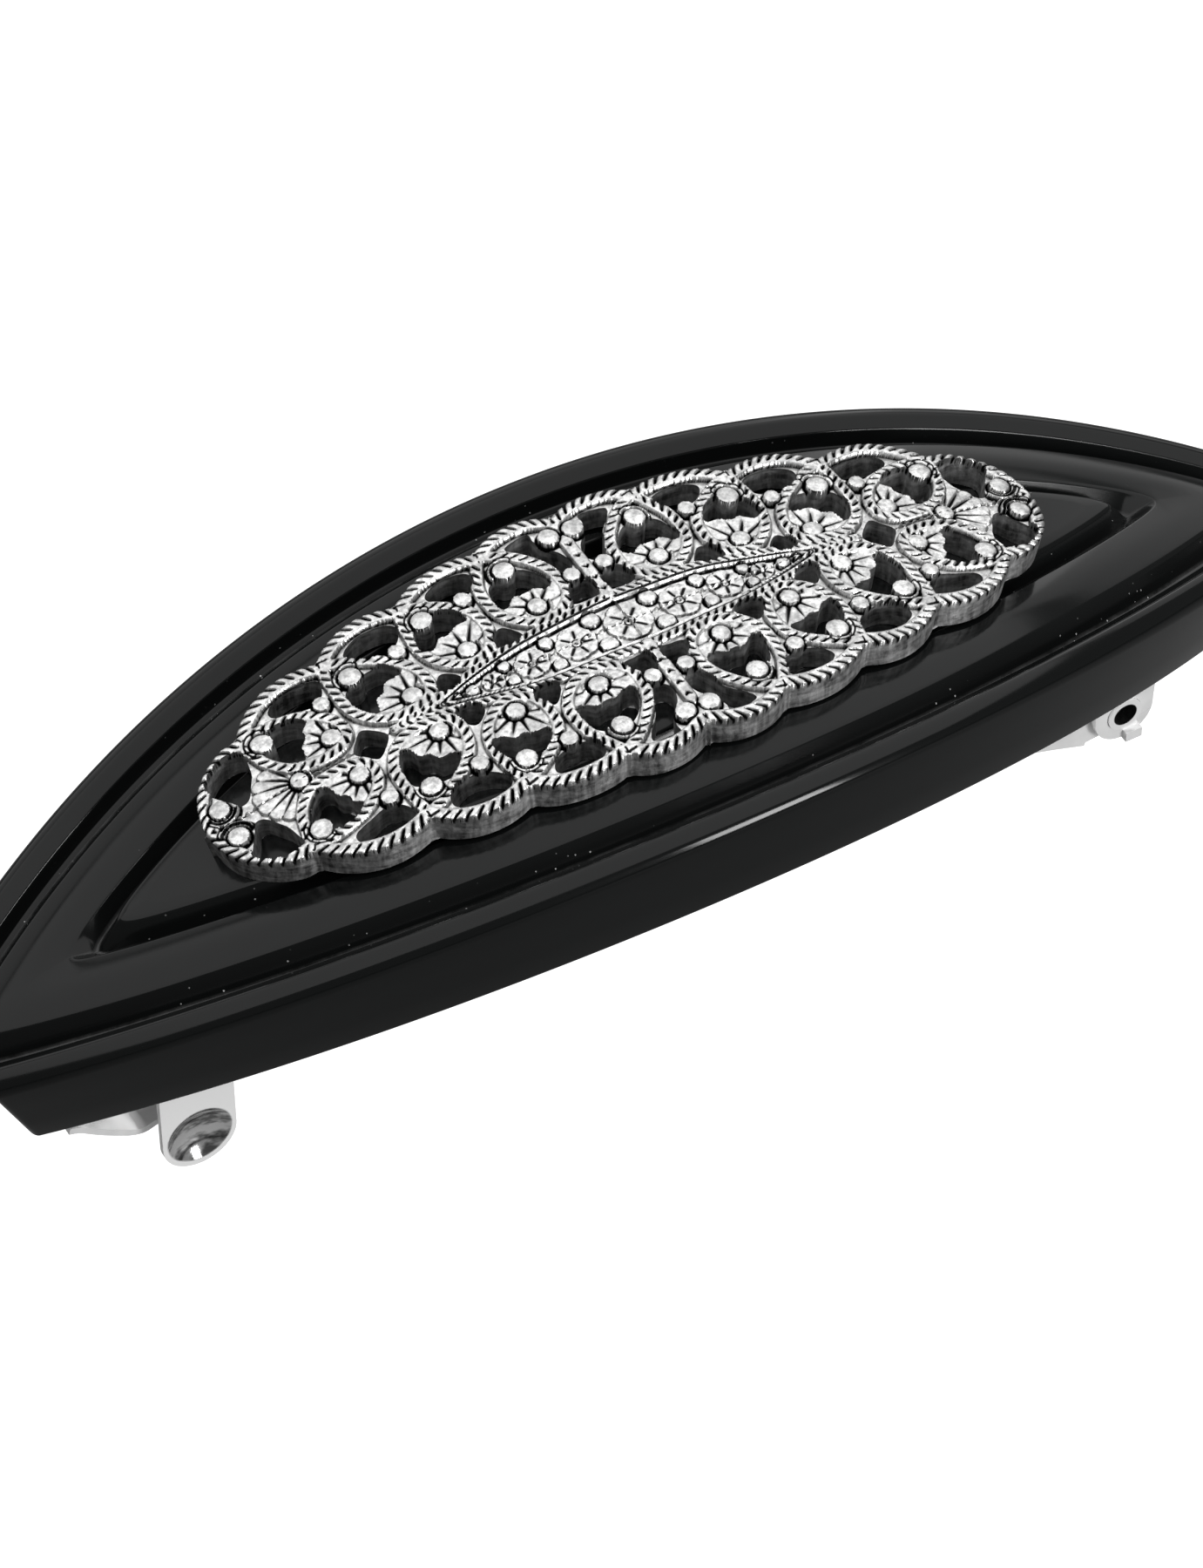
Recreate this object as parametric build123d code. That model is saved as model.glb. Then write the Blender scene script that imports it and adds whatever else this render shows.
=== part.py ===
from build123d import *
import os
from math import asin, cos, degrees, sin, sqrt

# Barrette: an arched black moulded body with a pierced silver plaque on top
# and a sprung steel clasp underneath. Millimetres, +X towards the clasp's
# hinge, +Z up through the crown. The origin is the centre of the bounding
# box's bottom face, level with the lower edge of the finger tabs.

# ---------------------------------------------------------------- the arch
CROWN_Z = 28.4              # top of the plaque at mid-length
ARCH_RADIUS = 117.0         # of the plaque's top face, about the arch axis
ARCH_Z = CROWN_Z - ARCH_RADIUS
# Depths are measured inwards from the plaque's top face, along the radius.
PLAQUE_DEPTH = 2.2          # underside of the plaque, top of the centre panel
RIM_DEPTH = 2.35            # top of the rim and of the middle band
GROOVE_DEPTH = 4.0          # floor of both grooves
BODY_DEPTH = 9.1            # underside of the body
GLUE_GAP = 0.02             # bond line between faces that are stuck together

# ------------------------------------------------------------ cutting tools
MARGIN = 1.0                # how far a cutting solid runs past what it cuts
OVERLAP = 0.1               # how far solids that are joined run into each other
CLASP_ROOM = 20.0           # deeper than anything hangs below the clasp's strip
WIDE = 200.0                # longer than the whole part

# ---------------------------------------------------------------- the body
BODY_HALF_ARC = 50.25       # centre to blunt end, along the arch
BODY_HALF_WIDTH = 16.6
END_HALF_WIDTH = 5.0        # of the blunt ends
RIM_WIDTH = 2.25
OUTER_GROOVE_WIDTH = 1.0
BAND_INSET = 7.4            # outline to the inner groove
INNER_GROOVE_WIDTH = 0.9
RIM_FILLET = 1.1
FOOT_FILLET = 0.5

# -------------------------------------------------------------- the plaque
# Arc length from mid-length, half-width: the scallops' notches and crests.
PLAQUE_NOTCHES = [(0, 9.9), (5.7, 9.75), (12.05, 8.65), (18.3, 7.35), (25.25, 5.2)]
PLAQUE_CRESTS = [(2.9, 10.75), (8.8, 10.15), (15.0, 9.1), (21.2, 7.7)]
PLAQUE_SHOULDER = (28.8, 3.6)
PLAQUE_HALF_ARC = 30.1
OPENING_FILLET = 0.25
# Through-openings of one quarter, which the other three mirror.
QUARTER_OPENINGS = [
    [(0.5, 3.0), (2.1, 3.0), (1.7, 4.8), (0.5, 4.8)],
    [(0.6, 5.9), (1.6, 5.9), (3.8, 9.2), (2.2, 9.8), (0.6, 7.6)],
    [(2.8, 5.5), (6.5, 5.5), (6.1, 7.3), (3.3, 7.3)],
    [(6.6, 8.6), (8.4, 7.4), (9.9, 8.7), (8.7, 9.4), (7.1, 9.4)],
    [(8.9, 5.1), (12.1, 4.7), (12.2, 6.0), (11.0, 6.5), (9.6, 6.5)],
    [(13.0, 6.9), (14.7, 6.0), (16.3, 7.4), (15.1, 8.2), (13.3, 8.1)],
    [(14.5, 4.5), (16.0, 4.0), (17.2, 2.3), (17.7, 3.6), (17.4, 4.8), (15.8, 5.6)],
    [(19.1, 5.6), (20.5, 5.0), (23.0, 5.6), (21.8, 6.7), (19.6, 6.8)],
    [(21.3, 4.3), (22.3, 1.5), (23.5, 1.7), (24.0, 3.0), (23.0, 4.4)],
    [(25.6, 3.0), (27.0, 1.1), (28.0, 1.6), (28.6, 2.4), (27.7, 3.9), (25.8, 4.4)],
    [(6.3, 2.5), (8.0, 2.3), (7.2, 4.0)],
    [(11.3, 1.5), (13.1, 1.0), (12.4, 2.5)],
]
# Diamond opening on the long axis, past each tip of the medallion.
AXIS_DIAMOND = [(17.0, 0), (18.3, 1.6), (19.9, 0), (18.3, -1.6)]

# --------------------------------------------------------------- the clasp
SHEET = 0.5                 # thickness of the ears and the strap
BASE_SHEET = 0.6            # thickness of the strip
BASE_HALF_WIDTH = 4.5
BASE_HALF_ARC = 41.5        # base strip, mid-length to end, along its top face
BASE_OUTER = ARCH_RADIUS - BODY_DEPTH - GLUE_GAP
BASE_INNER = BASE_OUTER - BASE_SHEET

HINGE_X = 35.45             # hinge axis, along Y
HINGE_Z = 4.7
PIN_RADIUS = 1.30
PIN_BORE = 0.85
PIN_HALF_LENGTH = 4.65
EAR_BORE = 1.32             # the pin is pressed in the ears
ARM_BORE = 1.36             # and runs in the arm
EAR_RADIUS = 2.25
EAR_FOOT = (32.6, 38.1)     # the ears' edges where they leave the strip
TANG_X = (35.45, 36.7)      # tang folded outwards from each ear's lower edge
TANG_Z = (2.3, 3.1)
TANG_REACH = 0.45

ARM_SHEET = 0.5
ARM_LEFT = (-36.5, 3.4)     # centre line of the arm's web: catch end,
ARM_CROWN = (0.0, 9.1)      # mid-length
ARM_RIGHT = (33.0, 2.4)     # and hinge end
ARM_HALF_WIDTH = 3.75
ARM_TIP_HALF_WIDTH = 2.85
ARM_TIP = [(-38.6, 4.1), (-40.2, 5.2), (-41.9, 6.2)]   # ogee lip past the catch
ARM_TIP_DIRECTION = (-1.0, 0.25)
ARM_NECK_X = (-27.0, -30.5)  # where the web narrows towards the tip
FLANGE_RADIUS = 2.0         # round the hinge pin
FLANGE_TOP = (32.0, 5.2)    # crest of each flange's upper edge
FLANGE_FOOT = [(27.0, 4.9), (31.0, 3.25), (33.1, 2.45)]   # along the web

TAB_X = -33.8               # middle of the finger tabs
TAB_HALF_WIDTH = 2.6
TAB_SHEET = 0.45
TAB_TOP_Z = 10.6
TAB_GAP = 0.12              # between a tab and the catch it flexes from
DIMPLE_Z = 2.75
DIMPLE_RADIUS = 2.25
DIMPLE_DEPTH = 0.9

SPRING_SHEET = 0.35
SPRING_HALF_WIDTH = 2.6
# Centre line of the tension spring, as arc position and depth: from the root,
# tucked in the base's strap, to the free tip.
SPRING_LINE = [(30.4, 10.24), (28.4, 10.24), (14.0, 12.4), (0.0, 13.5), (-14.0, 13.7), (-27.0, 13.0)]
STRAP_ARCS = (27.7, 29.3)
STRAP_CLEARANCE = 0.35

RIVET_ARCS = (-31.6, 33.8)  # arc positions of the two rivets along the body
RIVET_SHANK = 1.0
RIVET_BORE = 1.02
RIVET_HEAD = 1.55
RIVET_HEAD_HEIGHT = 0.45
RIVET_HEAD_FILLET = 0.2
RIVET_LENGTH = 3.6
RIVET_END_GAP = 0.1         # between a shank and the bottom of its hole


# ------------------------------------------------------------- small tools
def arch_point(radius, angle):
    """Point (x, z) at a radius from the arch axis, angle in radians from +Z."""
    return (radius * sin(angle), ARCH_Z + radius * cos(angle))


def side_face(edges):
    """Face in the XZ plane from edges drawn with x, z coordinates."""
    return Plane.XZ * make_face(Curve() + edges)


def slab(face, y_low, y_high):
    """Extrude a face of the XZ plane from y_low to y_high."""
    solid = extrude(face, (y_high - y_low) / 2, both=True)
    return Pos(0, (y_low + y_high) / 2, 0) * solid


def arch_sector(outer, inner, start, end, half_width):
    """Curved slab between two radii and two angles about the arch axis."""
    middle = (start + end) / 2
    edges = [
        ThreePointArc(arch_point(outer, start), arch_point(outer, middle), arch_point(outer, end)),
        Line(arch_point(outer, end), arch_point(inner, end)),
        ThreePointArc(arch_point(inner, end), arch_point(inner, middle), arch_point(inner, start)),
        Line(arch_point(inner, start), arch_point(outer, start)),
    ]
    return slab(side_face(edges), -half_width, half_width)


def plan_x(arc):
    """Plan position of a point an arc length along the plaque's top face."""
    return ARCH_RADIUS * sin(arc / ARCH_RADIUS)


def strip(line, thickness, half_width):
    """Sheet strip of even thickness along a line drawn with x, z coordinates."""
    return slab(Plane.XZ * trace(line, thickness), -half_width, half_width)


def round_bar(centre_x, centre_z, radius, y_low, y_high):
    """Cylinder along Y."""
    bar = Cylinder(radius, y_high - y_low, rotation=(90, 0, 0))
    return Pos(centre_x, (y_low + y_high) / 2, centre_z) * bar


# ---------------------------------------------------------------- the body
MID_RADIUS = ARCH_RADIUS - (RIM_DEPTH + BODY_DEPTH) / 2
END_X = MID_RADIUS * sin(BODY_HALF_ARC / ARCH_RADIUS)
SIDE_RISE = BODY_HALF_WIDTH - END_HALF_WIDTH
SIDE_RADIUS = (END_X ** 2 + SIDE_RISE ** 2) / (2 * SIDE_RISE)
SIDE_OFFSET = SIDE_RADIUS - BODY_HALF_WIDTH


def lens_prism(inset):
    """Upright prism of the body's two-arc outline, drawn in by an inset."""
    radius = SIDE_RADIUS - inset
    lens = Pos(0, -SIDE_OFFSET) * Circle(radius) & Pos(0, SIDE_OFFSET) * Circle(radius)
    return extrude(lens, CROWN_Z + MARGIN)


def body_layer(depth_top, depth_bottom):
    """Full-width curved slab of the body's length between two depths."""
    half_angle = BODY_HALF_ARC / ARCH_RADIUS
    return arch_sector(ARCH_RADIUS - depth_top, ARCH_RADIUS - depth_bottom,
                       -half_angle, half_angle, BODY_HALF_WIDTH + MARGIN)


def groove(inset, width):
    """Channel that follows the outline."""
    ring = lens_prism(inset) - lens_prism(inset + width)
    return ring & body_layer(RIM_DEPTH - MARGIN, GROOVE_DEPTH)


def rivet(arc, shank_radius, grow=0.0):
    """Rivet shank through the strip into the body, at an arc position."""
    length = RIVET_LENGTH + RIVET_HEAD_HEIGHT / 2 + grow
    shank = Cylinder(shank_radius, length, align=(Align.CENTER, Align.CENTER, Align.MIN))
    shank = Pos(0, 0, BASE_INNER - RIVET_HEAD_HEIGHT / 2) * shank
    return Pos(0, 0, ARCH_Z) * Rot(0, degrees(arc / ARCH_RADIUS), 0) * shank


def hair_body():
    blank = body_layer(RIM_DEPTH, BODY_DEPTH) & lens_prism(0)
    top = blank.faces().sort_by(Axis.Z)[-1]
    long_edges = top.edges().sort_by(SortBy.LENGTH)[-2:]
    blank = fillet(long_edges, RIM_FILLET)
    foot = [face for face in blank.faces() if face.geom_type == GeomType.CYLINDER]
    foot = min(foot, key=lambda face: abs(face.radius - (ARCH_RADIUS - BODY_DEPTH)))
    blank = fillet(foot.edges().sort_by(SortBy.LENGTH)[-2:], FOOT_FILLET)
    body = blank - groove(RIM_WIDTH, OUTER_GROOVE_WIDTH)
    panel = lens_prism(BAND_INSET + INNER_GROOVE_WIDTH)
    body += panel & body_layer(PLAQUE_DEPTH, GROOVE_DEPTH + MARGIN)
    body -= groove(BAND_INSET, INNER_GROOVE_WIDTH)
    for arc in RIVET_ARCS:
        body -= rivet(arc, RIVET_BORE, RIVET_END_GAP)
    return body


# -------------------------------------------------------------- the plaque
def plan_points(points):
    return [(plan_x(arc), width) for arc, width in points]


def plaque_outline():
    """Scalloped outline: an arc per lobe, mirrored into four quarters."""
    notches = plan_points(PLAQUE_NOTCHES)
    crests = plan_points(PLAQUE_CRESTS)
    lobes = [ThreePointArc(notches[i], crests[i], notches[i + 1]) for i in range(len(crests))]
    end_point = (plan_x(PLAQUE_HALF_ARC), 0)
    shoulder = plan_points([PLAQUE_SHOULDER])[0]
    lobes.append(ThreePointArc(notches[-1], shoulder, end_point))
    quarter = Curve() + lobes
    half = quarter + mirror(quarter, Plane.XZ)
    return make_face(half + mirror(half, Plane.YZ))


def plaque_openings():
    """Every through-opening as one sketch."""
    openings = Sketch()
    for points in QUARTER_OPENINGS:
        opening = Polygon(*plan_points(points), align=None)
        opening = fillet(opening.vertices(), OPENING_FILLET)
        pair = opening + mirror(opening, Plane.XZ)
        openings += pair + mirror(pair, Plane.YZ)
    diamond = Polygon(*plan_points(AXIS_DIAMOND), align=None)
    return openings + diamond + mirror(diamond, Plane.YZ)


def filigree_plaque():
    half_angle = (PLAQUE_HALF_ARC + MARGIN) / ARCH_RADIUS
    shell = arch_sector(ARCH_RADIUS, ARCH_RADIUS - PLAQUE_DEPTH + GLUE_GAP,
                        -half_angle, half_angle, BODY_HALF_WIDTH)
    return extrude(plaque_outline() - plaque_openings(), CROWN_Z + MARGIN) & shell


# --------------------------------------------------------------- the clasp
def ear_face():
    """Ear outline: from the strip down to a round end about the hinge."""
    left, right = EAR_FOOT
    top = ARCH_Z + sqrt(BASE_INNER ** 2 - left ** 2) + MARGIN
    plate = make_face(Polyline((left, top), (right, top), (HINGE_X + EAR_RADIUS, HINGE_Z),
                               (HINGE_X - EAR_RADIUS, HINGE_Z), close=True))
    return Plane.XZ * (plate + Pos(HINGE_X, HINGE_Z) * Circle(EAR_RADIUS))


def clasp_base():
    half_angle = BASE_HALF_ARC / ARCH_RADIUS
    base = arch_sector(BASE_OUTER, BASE_INNER, -half_angle, half_angle, BASE_HALF_WIDTH)
    past_ears = (BASE_HALF_ARC + CLASP_ROOM) / ARCH_RADIUS
    under_strip = arch_sector(BASE_OUTER - OVERLAP, BASE_OUTER - CLASP_ROOM,
                              -past_ears, past_ears, BASE_HALF_WIDTH)
    tang_middle = Pos((TANG_X[0] + TANG_X[1]) / 2, 0, (TANG_Z[0] + TANG_Z[1]) / 2)
    tangs = tang_middle * Box(TANG_X[1] - TANG_X[0], 2 * (BASE_HALF_WIDTH + TANG_REACH),
                              TANG_Z[1] - TANG_Z[0])
    ears = slab(ear_face(), -BASE_HALF_WIDTH, BASE_HALF_WIDTH) & under_strip
    ears = ears + tangs - Box(WIDE, 2 * (BASE_HALF_WIDTH - SHEET), WIDE)
    base += ears - round_bar(HINGE_X, HINGE_Z, EAR_BORE, -BASE_HALF_WIDTH, BASE_HALF_WIDTH)
    base += spring_strap()
    for arc in RIVET_ARCS:
        base -= rivet(arc, RIVET_BORE, RIVET_END_GAP)
    return base


def spring_strap():
    """Lanced bridge that holds the tension spring's root against the strip."""
    low, high = (arc / ARCH_RADIUS for arc in STRAP_ARCS)
    slot = SPRING_SHEET + 2 * STRAP_CLEARANCE
    inside = SPRING_HALF_WIDTH + STRAP_CLEARANCE
    outside = inside + SHEET
    past = MARGIN / ARCH_RADIUS
    block = arch_sector(BASE_INNER + OVERLAP, BASE_INNER - slot - SHEET, low, high, outside)
    return block - arch_sector(BASE_INNER, BASE_INNER - slot, low - past, high + past, inside)


def hinge_pin():
    pin = round_bar(HINGE_X, HINGE_Z, PIN_RADIUS, -PIN_HALF_LENGTH, PIN_HALF_LENGTH)
    return pin - round_bar(HINGE_X, HINGE_Z, PIN_BORE, -PIN_HALF_LENGTH, PIN_HALF_LENGTH)


def base_rivets():
    rivets = []
    for arc in RIVET_ARCS:
        head = Cylinder(RIVET_HEAD, RIVET_HEAD_HEIGHT, align=(Align.CENTER, Align.CENTER, Align.MAX))
        head = Pos(0, 0, BASE_INNER - GLUE_GAP) * fillet(head.edges().sort_by(Axis.Z)[:1], RIVET_HEAD_FILLET)
        head = Pos(0, 0, ARCH_Z) * Rot(0, degrees(arc / ARCH_RADIUS), 0) * head
        rivets.append(rivet(arc, RIVET_SHANK) + head)
    return rivets


def catch_bridge():
    """Web of the catch under the strip, with a short flange over each tab."""
    web_outer = BASE_INNER - GLUE_GAP
    low = asin((TAB_X - TAB_HALF_WIDTH) / web_outer)
    high = asin((TAB_X + TAB_HALF_WIDTH) / web_outer)
    web = arch_sector(web_outer, web_outer - TAB_SHEET, low, high, BASE_HALF_WIDTH)
    block = Box(2 * TAB_HALF_WIDTH, 2 * BASE_HALF_WIDTH, CLASP_ROOM,
                align=(Align.CENTER, Align.CENTER, Align.MIN))
    under_strip = arch_sector(web_outer - OVERLAP, web_outer - CLASP_ROOM, low, high, BASE_HALF_WIDTH)
    flanges = Pos(TAB_X, 0, TAB_TOP_Z + TAB_GAP) * block & under_strip
    flanges -= Box(WIDE, 2 * (BASE_HALF_WIDTH - TAB_SHEET), WIDE)
    return web + flanges


def finger_tab(side):
    """Finger tab with a round lower end and a dimple pressed inwards."""
    bottom = TAB_HALF_WIDTH
    plate = Pos(TAB_X, (TAB_TOP_Z + bottom) / 2) * Rectangle(2 * TAB_HALF_WIDTH, TAB_TOP_Z - bottom)
    plate += Pos(TAB_X, bottom) * Circle(TAB_HALF_WIDTH)
    inner = BASE_HALF_WIDTH - TAB_SHEET
    tab = slab(Plane.XZ * plate, inner, BASE_HALF_WIDTH)
    ball = (DIMPLE_RADIUS ** 2 + DIMPLE_DEPTH ** 2) / (2 * DIMPLE_DEPTH)
    centre_y = inner - DIMPLE_DEPTH + ball
    bulge = Pos(TAB_X, centre_y, DIMPLE_Z) * Sphere(ball)
    hollow = Pos(TAB_X, centre_y + TAB_SHEET, DIMPLE_Z) * Sphere(ball)
    inside = Pos(TAB_X, inner + OVERLAP, DIMPLE_Z) * Box(
        WIDE, inner, WIDE, align=(Align.CENTER, Align.MAX, Align.CENTER))
    tab = tab + (bulge & inside) - hollow
    return tab if side > 0 else mirror(tab, Plane.XZ)


def clasp_arm():
    """Sprung arm: a curved web, an ogee lip, and flanges round the hinge pin."""
    web_line = ThreePointArc(ARM_LEFT, ARM_CROWN, ARM_RIGHT)
    lip_line = Spline([ARM_LEFT] + ARM_TIP, tangents=[-(web_line % 0), ARM_TIP_DIRECTION])
    web = strip(web_line, ARM_SHEET, ARM_HALF_WIDTH)
    lip = strip(lip_line, ARM_SHEET, ARM_HALF_WIDTH)
    wide_x, narrow_x = ARM_NECK_X
    tip_x = ARM_TIP[-1][0] - MARGIN
    right_x = ARM_RIGHT[0] + MARGIN
    half_plan = [(tip_x, ARM_TIP_HALF_WIDTH), (narrow_x, ARM_TIP_HALF_WIDTH),
                 (wide_x, ARM_HALF_WIDTH), (right_x, ARM_HALF_WIDTH)]
    other_half = [(x, -y) for x, y in reversed(half_plan)]
    plan = extrude(make_face(Polyline(*half_plan, *other_half, close=True)), CROWN_Z, both=True)
    arm = (web + lip) & plan
    return arm + arm_flanges()


def arm_flanges():
    """Upright side plates of the arm at the hinge end, bored for the pin."""
    edge = Polyline(*FLANGE_FOOT, (HINGE_X, HINGE_Z - FLANGE_RADIUS),
                    (HINGE_X, HINGE_Z + FLANGE_RADIUS), FLANGE_TOP, close=True)
    face = Plane.XZ * (make_face(edge) + Pos(HINGE_X, HINGE_Z) * Circle(FLANGE_RADIUS))
    plates = slab(face, -ARM_HALF_WIDTH, ARM_HALF_WIDTH)
    plates -= Box(WIDE, 2 * (ARM_HALF_WIDTH - ARM_SHEET), WIDE)
    return plates - round_bar(HINGE_X, HINGE_Z, ARM_BORE, -ARM_HALF_WIDTH, ARM_HALF_WIDTH)


def tension_spring():
    """Bowed leaf, tucked in the base's strap at one end and free at the other."""
    points = [arch_point(ARCH_RADIUS - depth, arc / ARCH_RADIUS) for arc, depth in SPRING_LINE]
    return strip(Spline(points), SPRING_SHEET, SPRING_HALF_WIDTH)


# ------------------------------------------------------------------ output
NODES = {
    "hair_body": hair_body(),
    "filigree_plaque": filigree_plaque(),
    "clasp_base": clasp_base(),
    "base_rivets": Compound(base_rivets()),
    "catch_bridge": catch_bridge(),
    "finger_tab_near": finger_tab(-1),
    "finger_tab_far": finger_tab(1),
    "hinge_pin": hinge_pin(),
    "clasp_arm": clasp_arm(),
    "tension_spring": tension_spring(),
}

os.makedirs("parts", exist_ok=True)
for name, shape in NODES.items():
    export_step(shape, f"parts/{name}.step")
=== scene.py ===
import math

import bpy
import numpy as np
from mathutils import Matrix, Vector
from mathutils.geometry import delaunay_2d_cdt


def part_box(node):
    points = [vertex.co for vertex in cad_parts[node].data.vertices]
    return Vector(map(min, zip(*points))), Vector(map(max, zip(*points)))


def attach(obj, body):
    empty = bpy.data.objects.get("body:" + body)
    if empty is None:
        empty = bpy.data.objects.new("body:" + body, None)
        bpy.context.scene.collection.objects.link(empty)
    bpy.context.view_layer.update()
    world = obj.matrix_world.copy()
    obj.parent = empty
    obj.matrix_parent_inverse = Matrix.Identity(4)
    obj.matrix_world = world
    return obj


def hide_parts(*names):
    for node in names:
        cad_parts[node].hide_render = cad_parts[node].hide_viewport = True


# Looks of a barrette: a glossy black arched body, a pierced antiqued-silver plaque and a plated
# clasp. Sizes are in millimetres along the arch unless they say otherwise; MM turns them into
# metres. "Arc" is the length along the plaque's top face from mid-length, "width" is Y, and a
# height is measured outwards from that face, so heights inside the part are negative.
MM = 0.001
SEED = 11
ARCH_RADIUS = 117.0

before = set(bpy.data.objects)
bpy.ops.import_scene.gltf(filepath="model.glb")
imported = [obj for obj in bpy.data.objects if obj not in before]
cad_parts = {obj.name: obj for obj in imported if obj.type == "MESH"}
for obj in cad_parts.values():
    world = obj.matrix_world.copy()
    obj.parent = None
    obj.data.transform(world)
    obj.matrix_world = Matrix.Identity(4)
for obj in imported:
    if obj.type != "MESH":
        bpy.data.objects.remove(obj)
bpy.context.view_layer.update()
CROWN_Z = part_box("filigree_plaque")[1].z / MM


def arch_xyz(arc, width, height):
    """Metres in the frame for arrays of arc length, width and height in millimetres."""
    angle = arc / ARCH_RADIUS
    radius = ARCH_RADIUS + height
    x = radius * np.sin(angle)
    z = CROWN_Z - ARCH_RADIUS + radius * np.cos(angle)
    return np.stack([x, width + np.zeros_like(x), z], -1) * MM


def mesh_piece(name, points, faces, body, replaces, material, sharp_degrees, values=None):
    """Smooth-shaded object from points in metres, with float values per point for its material."""
    mesh = bpy.data.meshes.new(name)
    mesh.from_pydata(points.tolist(), [], faces)
    mesh.validate()
    for key, data in (values or {}).items():
        layer = mesh.attributes.new(key, "FLOAT", "POINT")
        layer.data.foreach_set("value", np.asarray(data, np.float32))
    mesh.shade_smooth()
    mesh.set_sharp_from_angle(angle=math.radians(sharp_degrees))
    mesh.materials.append(material)
    piece = bpy.data.objects.new(name, mesh)
    bpy.context.scene.collection.objects.link(piece)
    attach(piece, body)
    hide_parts(*replaces)


# ------------------------------------------------------------------ materials
class Nodes:
    """Short ways to add and join the nodes of one material."""

    def __init__(self, name):
        self.material = bpy.data.materials.new(name)
        self.material.use_nodes = True
        self.tree = self.material.node_tree
        self.shader = self.tree.nodes["Principled BSDF"]

    def add(self, kind, inputs=None, **settings):
        node = self.tree.nodes.new(kind)
        for key, value in settings.items():
            setattr(node, key, value)
        for key, value in (inputs or {}).items():
            self.put(node.inputs[key], value)
        return node

    def put(self, socket, value):
        if isinstance(value, bpy.types.NodeSocket):
            self.tree.links.new(value, socket)
        else:
            socket.default_value = value

    def set(self, **values):
        """Set or join the shader's own sockets, their spaces written as underscores."""
        for key, value in values.items():
            self.put(self.shader.inputs[key.replace("_", " ")], value)

    def position(self):
        return self.add("ShaderNodeTexCoord").outputs["Object"]

    def noise(self, per_mm, detail=2.0, roughness=0.5, stretch=(1, 1, 1)):
        place = self.add("ShaderNodeMapping", {"Vector": self.position(), "Scale": stretch})
        inputs = {"Vector": place.outputs["Vector"], "Scale": per_mm / MM}
        inputs.update({"Detail": detail, "Roughness": roughness})
        return self.add("ShaderNodeTexNoise", inputs).outputs["Fac"]

    def ramp(self, value, low, high, to_low=0.0, to_high=1.0):
        """Value carried from one range to another, and held at its ends."""
        inputs = {"Value": value, "From Min": low, "From Max": high}
        inputs.update({"To Min": to_low, "To Max": to_high})
        return self.add("ShaderNodeMapRange", inputs).outputs["Result"]

    def math(self, operation, a, b):
        return self.add("ShaderNodeMath", {0: a, 1: b}, operation=operation).outputs["Value"]

    def mix(self, share, a, b):
        node = self.add("ShaderNodeMix", data_type="RGBA")
        self.put(node.inputs["Factor"], share)
        self.put(node.inputs["A"], a)
        self.put(node.inputs["B"], b)
        return node.outputs["Result"]

    def value(self, name):
        return self.add("ShaderNodeAttribute", attribute_name=name).outputs["Fac"]

    def bump(self, height, distance_mm, strength=1.0):
        distance = distance_mm * MM
        node = self.add("ShaderNodeBump", {"Height": height, "Distance": distance, "Strength": strength})
        self.put(self.shader.inputs["Normal"], node.outputs["Normal"])


def grey(level):
    return (level, level, level, 1.0)


GLOSS_BLACK = (0.0032, 0.0036, 0.0036, 1.0)
DUST = grey(0.55)
SPECKS_PER_MM = 1.5             # cells of the pattern, few of which hold a speck


def black_plastic():
    """Polished black with a few specks and a thin film of dust in the grooves."""
    n = Nodes("black_plastic")
    per_metre = SPECKS_PER_MM / MM
    cells = n.add("ShaderNodeTexVoronoi", {"Vector": n.position(), "Scale": per_metre, "Randomness": 1.0})
    close = n.ramp(cells.outputs["Distance"], 0.10, 0.07)
    rare = n.ramp(n.noise(0.23), 0.50, 0.56)
    specks = n.math("MULTIPLY", n.math("MULTIPLY", close, rare), n.value("groove"))
    bottom = n.ramp(n.value("groove"), 0.90, 1.0)
    film = n.math("MULTIPLY", bottom, n.ramp(n.noise(0.35, 4.0, 0.7), 0.38, 0.62, 0.01, 0.06))
    dust = n.math("MAXIMUM", specks, film)
    n.set(Base_Color=n.mix(dust, GLOSS_BLACK, DUST), IOR=1.29)
    smear = n.ramp(n.noise(0.12, 3.0), 0.3, 0.7, 0.10, 0.17)
    n.set(Roughness=n.math("ADD", smear, n.math("MULTIPLY", dust, 0.6)))
    n.bump(n.noise(0.5, 2.0), 0.003)
    return n.material


WORN_SILVER = (0.90, 0.90, 0.89, 1.0)
DULL_SILVER = grey(0.36)
TARNISH = grey(0.28)
OXIDE = grey(0.012)


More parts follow.
